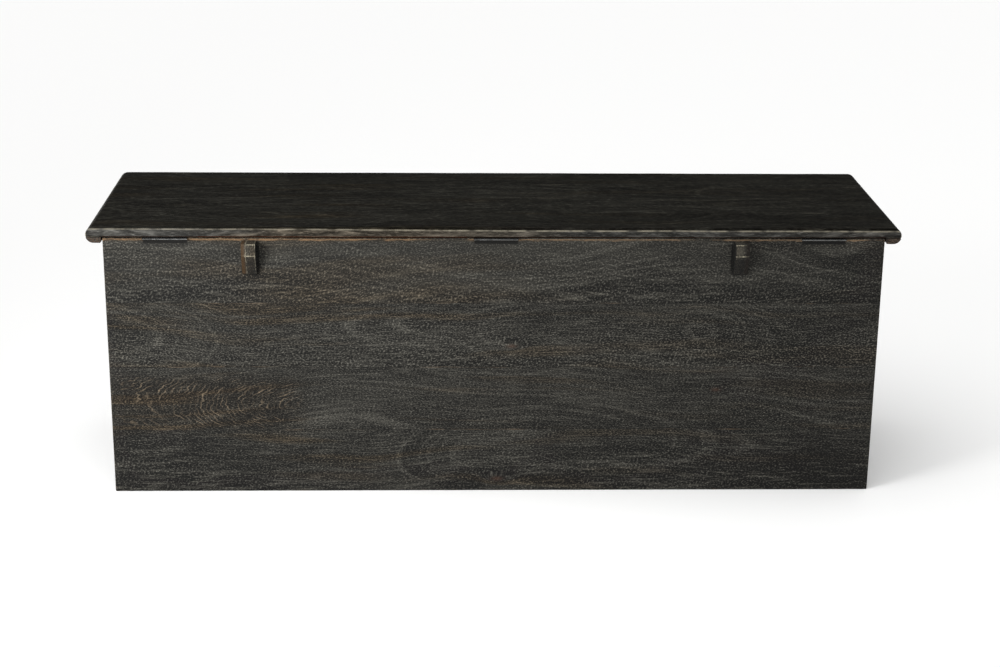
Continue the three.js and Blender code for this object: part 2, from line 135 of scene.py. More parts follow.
class Graph:
    """A material's node tree, built with short calls whose values are numbers or sockets."""

    def __init__(self, name):
        self.material = bpy.data.materials.new(name)
        self.material.use_nodes = True
        self.tree = self.material.node_tree
        self.shader = self.tree.nodes["Principled BSDF"]

    def feed(self, socket, value):
        if isinstance(value, bpy.types.NodeSocket):
            self.tree.links.new(value, socket)
        else:
            socket.default_value = value

    def node(self, kind, inputs, **settings):
        made = self.tree.nodes.new(kind)
        for key, value in settings.items():
            setattr(made, key, value)
        for key, value in inputs.items():
            self.feed(made.inputs[key], value)
        return made

    def math(self, operation, *values):
        return self.node("ShaderNodeMath", dict(enumerate(values)), operation=operation).outputs[0]

    def add(self, *values):
        result = values[0]
        for value in values[1:]:
            result = self.math("ADD", result, value)
        return result

    def times(self, *values):
        result = values[0]
        for value in values[1:]:
            result = self.math("MULTIPLY", result, value)
        return result

    def linear(self, value, factor, plus):
        return self.math("MULTIPLY_ADD", value, factor, plus)

    def offset(self, value, centre, amount):
        """(value - centre) * amount"""
        return self.linear(value, amount, -centre * amount)

    def away(self, value, target):
        return self.math("ABSOLUTE", self.math("SUBTRACT", value, target))

    def clamp(self, value, low, high):
        return self.math("MINIMUM", self.math("MAXIMUM", value, low), high)

    def opposite(self, share):
        return self.math("SUBTRACT", 1.0, share)

    def falloff(self, distance, rate=1.0):
        return self.math("EXPONENT", self.times(distance, -rate))

    def smooth(self, value, low, high, to_low=0.0, to_high=1.0):
        inputs = {"Value": value, "From Min": low, "From Max": high, "To Min": to_low, "To Max": to_high}
        return self.node("ShaderNodeMapRange", inputs, interpolation_type="SMOOTHSTEP").outputs[0]

    def vector(self, x, y, z):
        return self.node("ShaderNodeCombineXYZ", {"X": x, "Y": y, "Z": z}).outputs[0]

    def noise(self, x, y, z, detail=1.0, roughness=0.5):
        inputs = {"Vector": self.vector(x, y, z), "Scale": 1.0, "Detail": detail, "Roughness": roughness}
        return self.node("ShaderNodeTexNoise", inputs).outputs["Fac"]

    def place(self):
        """The point's X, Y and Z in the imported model's frame."""
        coordinates = self.node("ShaderNodeTexCoord", {}).outputs["Object"]
        return self.node("ShaderNodeSeparateXYZ", {0: coordinates}).outputs

    def bump(self, height, strength, distance):
        made = self.node("ShaderNodeBump", {"Height": height, "Strength": strength, "Distance": distance})
        self.feed(self.shader.inputs["Normal"], made.outputs[0])

    def blend(self, factor, first, second, kind="MIX"):
        made = self.node("ShaderNodeMix", {0: factor}, data_type="RGBA", blend_type=kind)
        for index, colour in ((6, first), (7, second)):
            self.feed(made.inputs[index], (*colour, 1) if isinstance(colour, tuple) else colour)
        return made.outputs[2]


# ---- Wood ----

CASE_LOOK = {
    "dark": (0.0040, 0.0038, 0.0034),
    "light": (0.108, 0.103, 0.087),
    "tint": (1.18, 0.985, 0.78),
    "wear": (0.20, 0.135, 0.080),
    "level": -0.015,
    "speckle": 0.78,
    "streak": 0.36,
    "line": 0.36,
    "worn": 0.58,
    "roughness": (0.58, 0.80),
    "relief": 0.5,
    "gloss": 0.15,
    "dash": (290, 700),
    "rub": 0.66,
    "reach": 4.0 * MM,
    "calm": 0.5,
}
# The lid: darker than the case, partly a darker finish and partly painted shade, since its top gets less of
# the studio's light than the back
LID_FINISH_AND_SHADE_LOOK = {
    **CASE_LOOK,
    "dark": (0.0024, 0.0022, 0.0018),
    "light": (0.041, 0.0395, 0.0325),
    "tint": (1.14, 1.00, 0.84),
    "level": 0.06,
    "speckle": 0.45,
    "streak": 0.50,
    "relief": 0.2,
    "gloss": 0.01,
    "dash": (110, 520),
    # Also the colour of the painted highlight along the lid's back edge
    "wear": (0.26, 0.235, 0.18),
    "worn": 0.8,
    "reach": 3.0 * MM,
    "rub": 1.05,
    "calm": 1.0,
}
EDGE_LOOK = {"dark": (0.012, 0.0118, 0.011), "light": (0.13, 0.126, 0.115)}
RIM_LOOK = {**CASE_LOOK, "wear": (0.100, 0.060, 0.036)}
STOP_LOOK = {
    **CASE_LOOK,
    "light": (0.110, 0.100, 0.078),
    "wear": (0.25, 0.225, 0.165),
    "worn": 0.95,
    "rub": 0.82,
}
INNER_LOOK = {
    **CASE_LOOK,
    "dark": (0.030, 0.022, 0.015),
    "light": (0.185, 0.142, 0.098),
    "speckle": 0.45,
    "streak": 0.35,
    "worn": 0.3,
    "level": 0.16,
}


def edge_distance(graph, place, box, ridges):
    """How far a point is from the nearest edge: the middle one of its three face distances, or a ridge's.

    ridges lists (axis, value, slack): a further edge at this value, worn less for more slack."""
    gaps = []
    for index in range(3):
        below = graph.math("SUBTRACT", place[index], box[0][index])
        above = graph.math("SUBTRACT", box[1][index], place[index])
        gaps.append(graph.math("MINIMUM", below, above))
    smaller = graph.math("MINIMUM", gaps[0], gaps[1])
    larger = graph.math("MAXIMUM", gaps[0], gaps[1])
    gap = graph.math("MAXIMUM", smaller, graph.math("MINIMUM", larger, gaps[2]))
    for side, value, slack in ridges:
        gap = graph.math("MINIMUM", gap, graph.add(graph.away(place[side], value), slack))
    return gap


def ring_distance(graph, across, centre, depth):
    """Distance from the tree's heart, which runs under the board at this centre line and depth."""
    side = graph.math("SUBTRACT", across, centre)
    return graph.math("SQRT", graph.add(graph.times(side, side), graph.times(depth, depth)))


def oval_distance(graph, along, across, centre, radii):
    """Squared distance from a centre, 1 all round the oval of these radii."""
    squares = []
    for value, middle, radius in zip((along, across), centre, radii):
        scaled = graph.linear(value, 1 / radius, -middle / radius)
        squares.append(graph.times(scaled, scaled))
    return graph.add(*squares)


ARC_PITCH = 3.0 * MM
ARC_COLOUR = (0.235, 0.180, 0.120)
KNOT_COLOUR = (0.050, 0.026, 0.017)
BARE_TINT = (1.14, 0.99, 0.82)


def arc_lines(graph, along, across, arcs):
    """Pale broken arcs, nested one in the next, where the heart dives under the board, and their extent."""
    depth = graph.smooth(along, *arcs["run"], *arcs["depth"])
    ripple = graph.offset(graph.noise(graph.times(along, 30), graph.times(across, 75), 4.0, 2), 0.5, 0.0075)
    distance = graph.add(ring_distance(graph, across, arcs["centre"], depth), ripple)
    rings = graph.math("PINGPONG", graph.times(distance, 1 / ARC_PITCH), 0.5)
    breaks = graph.noise(graph.times(along, 45), graph.times(across, 26), graph.times(distance, 120), 2)
    inside = graph.smooth(graph.away(across, arcs["centre"]), arcs["reach"], arcs["reach"] * 0.55)
    start, end = arcs["run"]
    window = graph.times(
        graph.smooth(along, start + 0.02, start + 0.10), graph.smooth(along, end, end - 0.05), inside)
    strokes = graph.times(graph.smooth(rings, 0.32, 0.49), graph.smooth(breaks, 0.40, 0.72))
    return graph.times(strokes, window), window


def lid_edge(graph, along, place):
    """Where the lid's edge shows its own tone, a line along the back's upper rounding, rubbed pale and also a
    painted highlight, and above it the dark finish darkened further as painted shade.
    """
    sunk = graph.math("SUBTRACT", LID_TOP, place[2])
    behind = graph.smooth(place[1], BACK_Y - 2.6 * MM, BACK_Y - 1.3 * MM)
    wobble = graph.offset(graph.noise(graph.times(along, 9), 2.0, 5.0, 2), 0.5, 1.6 * MM)
    overlap = graph.add(graph.smooth(place[0], 0.35, -0.02, 2.2 * MM, 4.1 * MM), wobble)
    under = graph.math("SUBTRACT", sunk, overlap)
    below = graph.smooth(under, -0.6 * MM, 0.4 * MM)
    around = graph.smooth(sunk, 0.5 * MM, 1.8 * MM)
    edge = graph.add(graph.times(around, graph.opposite(behind)), graph.times(below, behind))
    rubbed = graph.smooth(graph.noise(graph.times(along, 42), 6.0, 1.0, 3), 0.36, 0.58, 0.15, 1.0)
    strength = graph.smooth(place[0], 0.60, -0.20, 0.38, 0.66)
    ridge = graph.smooth(graph.away(under, 0.9 * MM), 2.0 * MM, 0.4 * MM)
    crest_wear_and_highlight = graph.times(ridge, behind, rubbed, strength)
    return edge, crest_wear_and_highlight, graph.times(behind, graph.opposite(below))


class Boards:
    """The grain of edge-glued boards: what their stain, pores and wear are made from."""

    def __init__(self, graph, grain, box, look, seed, count, knots):
        self.graph, self.look, self.seed = graph, look, seed
        self.place = graph.place()
        self.along, self.across, self.through = (self.place["xyz".index(letter)] for letter in grain)
        self.find_board(box, "xyz".index(grain[1]), count)
        self.grow_rings(box[1]["xyz".index(grain[2])], knots)
        self.open_pores()

    def find_board(self, box, axis, count):
        """The board that a point is on, and numbers of that board's own."""
        graph = self.graph
        self.start, self.width = box[0][axis], (box[1][axis] - box[0][axis]) / count
        steps = graph.linear(self.across, 1 / self.width, -self.start / self.width)
        self.board = graph.math("FLOOR", graph.clamp(steps, 0.0, count - 0.01))
        self.seam = graph.math("PINGPONG", graph.clamp(steps, 0.5, count - 0.5), 0.5)
        chance = graph.node("ShaderNodeTexWhiteNoise", {"W": graph.add(self.board, self.seed)},
                            noise_dimensions="1D")
        self.chance = chance.outputs["Value"]
        self.shift = graph.linear(self.board, 3.7, self.seed * 1.9)
        self.layer = graph.linear(self.through, 30.0, self.shift)

    def grow_rings(self, surface, knots):
        """Year rings round a heart that wanders along under the board, bent a little by ripples and knots."""
        graph, along, across = self.graph, self.along, self.across
        sway = graph.offset(graph.noise(graph.times(along, 1.3), self.shift, 1.0, 1), 0.5, 0.22)
        dive = graph.offset(graph.noise(graph.times(along, 1.6), self.shift, 7.0, 2), 0.5, 0.17)
        lean = graph.offset(self.chance, 0.5, 0.14)
        centre = graph.add(graph.times(self.board, self.width), self.start + self.width / 2, sway, lean)
        buried = graph.math("SUBTRACT", self.through, surface)
        depth = graph.math("MAXIMUM", graph.add(0.085, dive, buried), 0.03)
        ripple = graph.noise(graph.times(along, 6), graph.times(across, 24), self.layer, 2)
        level = graph.add(ring_distance(graph, across, centre, depth), graph.offset(ripple, 0.5, 0.008))
        self.heart = 0.0
        for knot_along, knot_across, size in knots:
            far = oval_distance(graph, along, across, (knot_along, knot_across), (size * 2.4, size))
            level = graph.add(level, graph.times(graph.falloff(far), size * 1.5))
            self.heart = graph.add(self.heart, graph.falloff(far, 9.0))
        self.level = level
        self.bands = graph.noise(graph.times(level, 70), graph.times(along, 0.9), self.shift, 3, 0.6)
        lines = graph.noise(graph.times(level, 290), graph.times(along, 4), self.shift, 1)
        self.line = graph.smooth(lines, 0.52, 0.70)

    def open_pores(self):
        """Fine pores, longer streaks and broad brown smears that follow the rings."""
        graph, along, across = self.graph, self.along, self.across
        run, rise = self.look["dash"]
        slant = graph.add(graph.times(across, 0.85 * rise), graph.times(self.level, 0.5 * rise))
        self.streak = graph.noise(graph.times(along, 22), graph.times(slant, 0.8), self.layer, 2)
        skew = graph.add(graph.times(along, run), graph.times(across, 0.25 * run))
        speckle = graph.noise(skew, slant, graph.times(self.through, 640), 2, 0.6)
        self.pore = graph.smooth(speckle, 0.47, 0.74)
        self.blush = graph.noise(graph.times(along, 2.4), graph.times(slant, 40 / rise),
                                 graph.add(self.layer, 5.0), 2, 0.5)

    def tone(self, calm, patches):
        """Pale open pores, thickest along the rings, in a dark ground, and paler or darker patches."""
        graph, look = self.graph, self.look
        cloud = graph.noise(graph.times(self.along, 3.2), graph.times(self.across, 13), self.layer, 3, 0.5)
        coarse = graph.smooth(graph.away(self.place[2], 0.215), 0.20, 0.06, 0.80, 1.17)
        tone = graph.add(
            look["level"] + 0.25 * look["streak"],
            graph.times(self.pore, graph.linear(self.bands, 0.8, 0.6), coarse, look["speckle"]),
            graph.times(graph.offset(graph.smooth(self.streak, 0.45, 0.78), 0.25, look["streak"]), calm),
            graph.times(self.line, graph.linear(self.pore, 0.9, 0.28), look["line"]),
            graph.offset(self.bands, 0.5, 0.12),
            graph.offset(cloud, 0.5, 0.34),
            graph.offset(self.chance, 0.5, 0.03),
        )
        for patch_along, patch_across, length, width, amount in patches:
            far = oval_distance(graph, self.along, self.across, (patch_along, patch_across), (length, width))
            tone = graph.add(tone, graph.times(graph.falloff(far), amount))
        return tone

    def shade_gradient(self):
        """Painted shade: what the tone loses near the floor and towards one end, where less light falls."""
        x, _, z = self.place
        foot = self.graph.smooth(z, 0.0, 0.30, -0.06, 0.0)
        return self.graph.add(foot, self.graph.smooth(x, -0.60, -0.30, -0.03, 0.0))

    def warmth(self, calm):
        """Where brown shows through the stain."""
        fading = self.graph.smooth(self.place[0], -0.40, 0.25, 0.40, 1.0)
        return self.graph.times(self.graph.smooth(self.blush, 0.50, 0.68), fading, calm)

    def glued(self, colour):
        """The joints between the boards: a fine dark line, rubbed pale here and there."""
        graph, look = self.graph, self.look
        joint = graph.smooth(self.seam, 1.2 * MM / self.width, 0.3 * MM / self.width)
        gate = graph.noise(graph.times(self.along, 8), self.shift, 3.0, 2)
        colour = graph.blend(graph.times(joint, graph.smooth(gate, 0.40, 0.62), 0.5), colour, look["dark"])
        rub = graph.times(graph.smooth(gate, 0.45, 0.33), graph.smooth(self.streak, 0.40, 0.60))
        return graph.blend(graph.times(joint, rub, 0.45), colour, look["wear"])

    def reach(self, gap):
        """How much an edge is rubbed, with a frayed limit."""
        graph = self.graph
        fray = graph.noise(graph.times(self.along, 60), graph.times(self.across, 420),
                           graph.times(self.through, 420), 3, 0.65)
        rubbed = graph.smooth(gap, self.look["reach"], 0.0, 0.0, self.look["rub"])
        return graph.add(rubbed, graph.offset(fray, 0.5, 1.2))

    def worn_top(self, top, amount):
        """The band under a top edge: how much more it is rubbed in patches, less at its lip, which stays dark
        as painted shade under the lid, and where the bare wood is brown."""
        graph, (x, _, z) = self.graph, self.place
        patch = graph.smooth(graph.noise(graph.times(self.along, 4.0), 3.0, self.seed, 2), 0.32, 0.48)
        upper = graph.smooth(z, top - 8.0 * MM, top - 4.2 * MM, 0.0, amount)
        # Painted shade: the lip just under the lid is kept from wear
        shaded = graph.smooth(z, top - 2.2 * MM, top - 1.0 * MM, 0.0, -1.0)
        lower = graph.smooth(z, top - 7.5 * MM, top - 3.5 * MM)
        browned = graph.times(patch, lower, graph.smooth(x, -0.10, 0.08, 0.35, 1.0))
        return (graph.times(upper, patch), shaded), browned


def paint_shade_and_tint(graph, colour, place, gap, shade_and_tint_bands):
    """Painted shade in bands, darker colour laid where shadow falls; a few bands are tinted brown instead.

    A band is an axis, its place on that axis, its half width and strength, then the middle and half length
    along X and how far from an edge it may be, and its colour."""
    for side, value, extent, amount, (middle, half, edge_reach), band_colour in shade_and_tint_bands:
        at_edge = graph.smooth(gap, edge_reach, edge_reach * 0.8)
        within = graph.times(graph.smooth(graph.away(place[0], middle), half + 2 * MM, half), at_edge)
        near = graph.smooth(graph.away(place[side], value), extent, extent * 0.4, 0.0, amount)
        colour = graph.blend(graph.times(near, within), colour, band_colour)
    return colour


def wood(name, grain, box, look, seed, boards=1, knots=(), arcs=None, rim=None, ridges=(), rubbed_top=0.0,
         shade_and_tint_bands=(), patches=()):
    """Stained wood. grain names the axes along, across and through the boards, such as xzy."""
    graph = Graph(name)
    grown = Boards(graph, grain, box, look, seed, boards, knots)
    place, along = grown.place, grown.along
    calm = graph.smooth(place[2], 0.31, 0.40, 1.0, look["calm"])

    # Stain over the grain
    tone = grown.tone(calm, patches)
    if arcs:
        strokes, window = arc_lines(graph, along, grown.across, arcs)
        tone = graph.add(tone, graph.times(window, -0.12))
    dark, light = look["dark"], look["light"]
    if rim:
        edge, crest_wear_and_highlight, dark_finish_and_shade = lid_edge(graph, along, place)
        dark, light = graph.blend(edge, dark, rim["dark"]), graph.blend(edge, light, rim["light"])
    tone = graph.clamp(graph.add(tone, grown.shade_gradient()), 0.0, 1.5)
    colour = graph.blend(tone, dark, light)
    if rim:
        # Painted shade: the lid's upper back rounding darkened towards its dark colour and kept from wear
        colour = graph.blend(graph.times(dark_finish_and_shade, 0.15), colour, look["dark"])
    colour = graph.blend(grown.warmth(calm), colour, look["tint"], "MULTIPLY")
    if arcs:
        colour = graph.blend(graph.times(window, 0.35), colour, look["tint"], "MULTIPLY")
        flecked = graph.times(strokes, graph.linear(grown.pore, 0.60, 0.40))
        colour = graph.blend(flecked, colour, ARC_COLOUR)
    if knots:
        colour = graph.blend(graph.times(grown.heart, 0.6), colour, KNOT_COLOUR)
    colour = grown.glued(colour)

    # Edges rubbed through to bare wood, the painted highlight along the lid's back, and bands of painted
    # shade
    gap = edge_distance(graph, place, box, ridges)
    reach = grown.reach(gap)
    if rim:
        reach = graph.add(reach, graph.times(dark_finish_and_shade, -1.5))
    if rubbed_top:
        more, browned = grown.worn_top(box[1][2], rubbed_top)
        reach = graph.add(reach, *more)
    wear = graph.smooth(reach, 0.52, 0.90, 0.0, look["worn"])
    if rim:
        # The line along the lid's back: rubbed pale and also a painted highlight
        wear = graph.math("MAXIMUM", wear, crest_wear_and_highlight)
    colour = graph.blend(wear, colour, look["wear"])
    if rubbed_top:
        colour = graph.blend(browned, colour, BARE_TINT, "MULTIPLY")
    # Bands of painted shade, a few tinted brown
    colour = paint_shade_and_tint(graph, colour, place, gap, shade_and_tint_bands)

    graph.feed(graph.shader.inputs["Base Color"], colour)
    graph.feed(graph.shader.inputs["Roughness"], graph.smooth(grown.streak, 0.3, 0.75, *look["roughness"]))
    graph.shader.inputs["Specular IOR Level"].default_value = look["gloss"]
    pits = graph.times(grown.pore, -0.7)
    height = graph.add(pits, graph.times(grown.bands, 0.5), graph.times(grown.line, -0.4))
    graph.bump(height, look["relief"], 0.35 * MM)
    return graph.material


# ---- Metal ----

def metal(name, dark, rubbed, metallic, roughness, barrel_shade=None):
    """Drawn steel with grit along X, rubbed brighter in patches, and painted near black, matte and not
    metallic away from the pivot's height as shade round the barrel.
    """
    graph = Graph(name)
    x, y, z = graph.place()
    grit = graph.noise(graph.times(x, 300), graph.times(y, 1500), graph.times(z, 1500), 3)
    rub = graph.noise(graph.times(x, 90), graph.times(y, 260), graph.times(z, 260), 2)
    colour = graph.blend(graph.smooth(rub, 0.30, 0.60), dark, rubbed)
    rough = graph.smooth(grit, 0.3, 0.7, *roughness)
    graph.shader.inputs["Metallic"].default_value = metallic
    # Painted shade: near black away from a narrow band at the pivot's height, so the barrel shows one bright
    # line
    if barrel_shade:
        unshaded_band = graph.smooth(graph.away(z, PIVOT.z), 1.1 * MM, 0.5 * MM)
        colour = graph.blend(unshaded_band, barrel_shade, colour)
        rough = graph.add(rough, graph.linear(unshaded_band, -0.4, 0.4))
        graph.feed(graph.shader.inputs["Metallic"], graph.times(unshaded_band, metallic))
    graph.feed(graph.shader.inputs["Base Color"], colour)
    graph.feed(graph.shader.inputs["Roughness"], rough)
    graph.shader.inputs["Specular IOR Level"].default_value = 0.05
    graph.bump(grit, 0.25, 0.08 * MM)
    return graph.material


# The hinge steel's near-black colour above and below the pivot's height is painted shade
BLACK = metal("black_steel", (0.068, 0.068, 0.066), (0.16, 0.16, 0.155), 0.9, (0.28, 0.42),
              barrel_shade=(0.003, 0.003, 0.003))
ZINC = metal("zinc_steel", (0.30, 0.30, 0.31), (0.42, 0.41, 0.38), 1.0, (0.25, 0.42))

# ---- Mesh helpers ----

def evenly(first, last, count):
    """The two ends and the marks between them that part a stretch into equal steps."""
    return [first + (last - first) * part / count for part in range(count + 1)]


def spread(low, high, step, stops=()):
    """Evenly spaced values from low to high, about a step apart, with the stops among them."""
    marks = [low, *sorted(stops), high]
    values = [low]
    for first, last in zip(marks, marks[1:]):
        values += evenly(first, last, max(1, round((last - first) / step)))[1:]
    return values


def arc(centre, radius, first, last, count):
    """Points evenly spaced along part of a circle."""
    return [(centre[0] + radius * math.cos(angle), centre[1] + radius * math.sin(angle))
            for angle in evenly(first, last, count)]


def eased_axis(low, high, radius, step, stops=()):
    """Lattice values along one side of an eased box: close together in the rounding, then a step apart."""
    rise = [low + radius * part for part in (0.0, 0.33, 0.66)]
    fall = [high - radius * part for part in (0.66, 0.33, 0.0)]
    return rise + spread(low + radius, high - radius, step, stops) + fall


def lattice_box(axes):
    """A closed box whose six faces are grids through the given X, Y and Z values."""
    bm = bmesh.new()
    made = {}

    def corner(*index):
        if index not in made:
            made[index] = bm.verts.new([axes[axis][index[axis]] for axis in range(3)])
        return made[index]

    for axis in range(3):
        one, two = (axis + 1) % 3, (axis + 2) % 3
        for end in (0, len(axes[axis]) - 1):
            for i in range(len(axes[one]) - 1):
                for j in range(len(axes[two]) - 1):
                    ring = []
                    for a, b in ((i, j), (i + 1, j), (i + 1, j + 1), (i, j + 1)):
                        index = [0, 0, 0]
                        index[axis], index[one], index[two] = end, a, b
                        ring.append(corner(*index))
                    bm.faces.new(ring if end else ring[::-1])
    return bm


def ease(bm, low, high, radius, wander, seed):
    """Rounds a lattice box's edges and lets them wander inward a little, as hand-finished edges do."""
    for vertex in bm.verts:
        place = vertex.co.copy()
        core = Vector([min(max(place[axis], low[axis] + radius), high[axis] - radius) for axis in range(3)])
        out = place - core
        sharp = sum(abs(value) > 0.3 * radius for value in out)
        if out.length > 0:
            vertex.co = core + out.normalized() * radius
        if sharp > 1 and wander:
            drift = noise.noise(place * 22 + Vector((seed, 0, 0))) + 0.5 * noise.noise(place * 70)
            vertex.co -= out.normalized() * max(0.0, drift + 0.2) * wander


def groove(bm, axis, stops, face_axis, low, high, depth):
    """Presses the rows of vertices that lie on the boards' glue joints slightly into both faces."""
    for vertex in bm.verts:
        if min((abs(vertex.co[axis] - stop) for stop in stops), default=1) < 0.05 * MM:
            dip = depth * (0.6 + 0.6 * noise.noise(vertex.co * 14))
            if abs(vertex.co[face_axis] - high) < 0.1 * MM:
                vertex.co[face_axis] -= max(dip, 0)
            elif abs(vertex.co[face_axis] - low) < 0.1 * MM:
                vertex.co[face_axis] += max(dip, 0)


SMOOTH_BELOW = math.radians(32)


def add_piece(name, bm, material, body):
    """Makes an object of the mesh, smooth but for sharp edges, that stands for the CAD node of its name."""
    bmesh.ops.recalc_face_normals(bm, faces=bm.faces)
    for face in bm.faces:
        face.smooth = True
    for edge in bm.edges:
        edge.smooth = len(edge.link_faces) == 2 and edge.calc_face_angle(0) < SMOOTH_BELOW
    mesh = bpy.data.meshes.new(name)
    bm.to_mesh(mesh)
    bm.free()
    mesh.materials.append(material)
    thing = bpy.data.objects.new(name, mesh)
    bpy.context.scene.collection.objects.link(thing)
    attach(thing, body)
    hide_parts(name)


def cut(bm, cutters):
    """Cuts closed meshes out of another and returns what is left."""
    def plain(source, name):
        mesh = bpy.data.meshes.new(name)
        source.to_mesh(mesh)
        source.free()
        thing = bpy.data.objects.new(name, mesh)
        bpy.context.scene.collection.objects.link(thing)
        return thing

    body = plain(bm, "uncut")
    tools = [plain(cutter, "cutter") for cutter in cutters]
    for tool in tools:
        modifier = body.modifiers.new("cut", "BOOLEAN")
        modifier.object, modifier.solver = tool, "EXACT"
    result = bmesh.new()
    result.from_object(body, bpy.context.evaluated_depsgraph_get())
    for thing in (body, *tools):
        bpy.data.objects.remove(thing)
    return result


def block(low, high):
    return lattice_box(list(zip(low, high)))


def turned(profile, segments, turn, place):
    """A solid of revolution. profile lists (radius, height) from one end to the other, both on the axis."""
    bm = bmesh.new()
    matrix = Matrix.Translation(place) @ turn
    rings = []
    for radius, height in profile:
        if radius == 0:
            rings.append([bm.verts.new(matrix @ Vector((0, 0, height)))] * segments)
            continue
        circle = arc((0, 0), radius, 0, 2 * math.pi, segments)[:-1]
        rings.append([bm.verts.new(matrix @ Vector((*point, height))) for point in circle])
    for lower, upper in zip(rings, rings[1:]):
        for here in range(segments):
            after = (here + 1) % segments
            ring = [lower[here], lower[after], upper[after], upper[here]]
            unique = [vertex for index, vertex in enumerate(ring) if vertex not in ring[:index]]
            bm.faces.new(unique)
    bmesh.ops.recalc_face_normals(bm, faces=bm.faces)
    return bm


def loft(rings):
    """A skin over rings of equal length, closed with a face at each end."""
    bm = bmesh.new()
    rows = [[bm.verts.new(point) for point in ring] for ring in rings]
    for lower, upper in zip(rows, rows[1:]):
        for here in range(len(lower)):
            after = (here + 1) % len(lower)
            bm.faces.new((lower[here], lower[after], upper[after], upper[here]))
    bm.faces.new(rows[0][::-1])
    bm.faces.new(rows[-1])
    bmesh.ops.remove_doubles(bm, verts=bm.verts, dist=1e-6)
    bmesh.ops.dissolve_degenerate(bm, edges=bm.edges, dist=1e-6)
    bmesh.ops.recalc_face_normals(bm, faces=bm.faces)
    return bm


def joined(parts):
    """One mesh of several closed ones."""
    whole = bmesh.new()
    for part in parts:
        mesh = bpy.data.meshes.new("part")
        part.to_mesh(mesh)
        part.free()
        whole.from_mesh(mesh)
        bpy.data.meshes.remove(mesh)
    return whole


# ---- Screws ----

SCREW_GAP = 0.3 * MM
THREAD = 1.1 * MM
HEAD_SUNK = 0.1 * MM
HINGE_SCREW = {"shank": 1.5 * MM, "head": 2.9 * MM, "rise": 1.4 * MM, "length": 13 * MM}
LONG_SCREW = {"shank": 2.0 * MM, "head": 4.0 * MM, "rise": 2.2 * MM, "length": 24 * MM}

# The way that a screw's head faces
UP = Matrix.Identity(4)
DOWN = Matrix.Rotation(math.pi, 4, "X")
FORWARD = Matrix.Rotation(math.pi / 2, 4, "X")


def head_place(name, turn):
    """The middle of the side of a screw's box that its head faces."""
    low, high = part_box(name)
    facing = turn @ Vector((0, 0, 1))
    return (low + high) / 2 + facing * (high - low) / 2


def screw_mesh(size, place, turn):
    """A countersunk wood screw with a ridged thread and a straight slot. Its head's top is at the place."""
    tip = -size["length"]
    profile = [(0, tip), (size["shank"] * 0.25, tip + 0.4 * MM)]
    for ridge in range(int((size["length"] - size["rise"] - 3 * MM) / THREAD)):
        height = tip + 1.2 * MM + ridge * THREAD
        grown = min(1.0, 0.45 + ridge * 0.2)
        profile += [(size["shank"] * 0.72 * grown, height), (size["shank"] * grown, height + 0.45 * MM)]
    profile += [(size["shank"] * 0.8, -size["rise"] - 0.8 * MM), (size["shank"] * 0.8, -size["rise"])]
    profile += [(size["head"] - 0.15 * MM, -0.15 * MM), (size["head"] - 0.2 * MM, -HEAD_SUNK)]
    profile.append((0, -HEAD_SUNK))
    body = turned(profile, 24, turn, place)
    long, half, deep = size["head"] * 1.2, 0.35 * MM, size["rise"] * 0.55
    slot = block((-long, -half, -deep), (long, half, deep))
    slot.transform(Matrix.Translation(place) @ turn)
    return cut(body, [slot])


def screw_hole(size, place, turn):
    """The countersunk hole that a screw sits in."""
    bore, mouth = size["shank"] + SCREW_GAP, size["head"] + SCREW_GAP * 0.5
    end, out = -size["length"] - SCREW_GAP, 2 * MM
    profile = [(0, end), (bore, end), (bore, -size["rise"]), (mouth, 0), (mouth, out), (0, out)]
    return turned(profile, 24, turn, place)


def add_screw(name, size, turn, material, body):
    add_piece(name, screw_mesh(size, head_place(name, turn), turn), material, body)


# ---- Case ----

EASED = 2.2 * MM
BOARDS = 4


def panel_mesh(node, along, seed):
    """A case panel of edge-glued boards: eased edges that wander a little and faint grooves at the joints."""
    low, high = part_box(node)
    seams = evenly(low.z, high.z, BOARDS)[1:-1]
    stops = [seam + side * 1.2 * MM for seam in seams for side in (-1, 0, 1)]
    thin = 1 - along
    axes = [None, None, eased_axis(low.z, high.z, EASED, 14 * MM, stops)]
    axes[along] = eased_axis(low[along], high[along], EASED, 14 * MM)
    axes[thin] = eased_axis(low[thin], high[thin], EASED, 8 * MM)
    bm = lattice_box(axes)
    groove(bm, 2, seams, thin, low[thin], high[thin], 0.35 * MM)
    ease(bm, low, high, EASED, 0.45 * MM, seed)
    return bm


def back_panel_cuts():
    """The hinges' mortises in the top edge and the holes for the screws that hold the stop blocks."""
    cutters = []
    for name in HINGES:
        leaf_low, leaf_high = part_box("hinge_case_leaf_" + name)
        floor = PIVOT.z - 2.05 * MM
        low = (leaf_low.x - GLUE_LINE, leaf_low.y - GLUE_LINE, floor)
        high = (leaf_high.x + GLUE_LINE, BACK_Y + 5 * MM, BACK_HIGH.z + 5 * MM)
        cutters.append(block(low, high))
    for side in SIDES:
        for level in ("upper", "lower"):
            place = head_place(f"lid_stop_screw_{side}_{level}", FORWARD)
            cutters.append(screw_hole(LONG_SCREW, place, FORWARD))
    return cutters


def hinge_shadow(name):
    """A painted shadow on the back panel under a hinge's barrel."""
    low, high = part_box("hinge_pin_" + name)
    where = ((low.x + high.x) / 2, (high.x - low.x) / 2 - 2 * MM, 12 * MM)
    return 2, PIVOT.z - 5.0 * MM, 4.6 * MM, 0.97, where, CASE_LOOK["dark"]


def stop_shadow(side):
    """A painted shadow on the back panel along a stop block's inner side."""
    low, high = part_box("lid_stop_" + side)
    beside = high.x + 1.5 * MM if side == "left" else low.x - 1.5 * MM
    return 2, (low.z + high.z) / 2, 40 * MM, 0.9, (beside, 0.8 * MM, 90 * MM), CASE_LOOK["dark"]


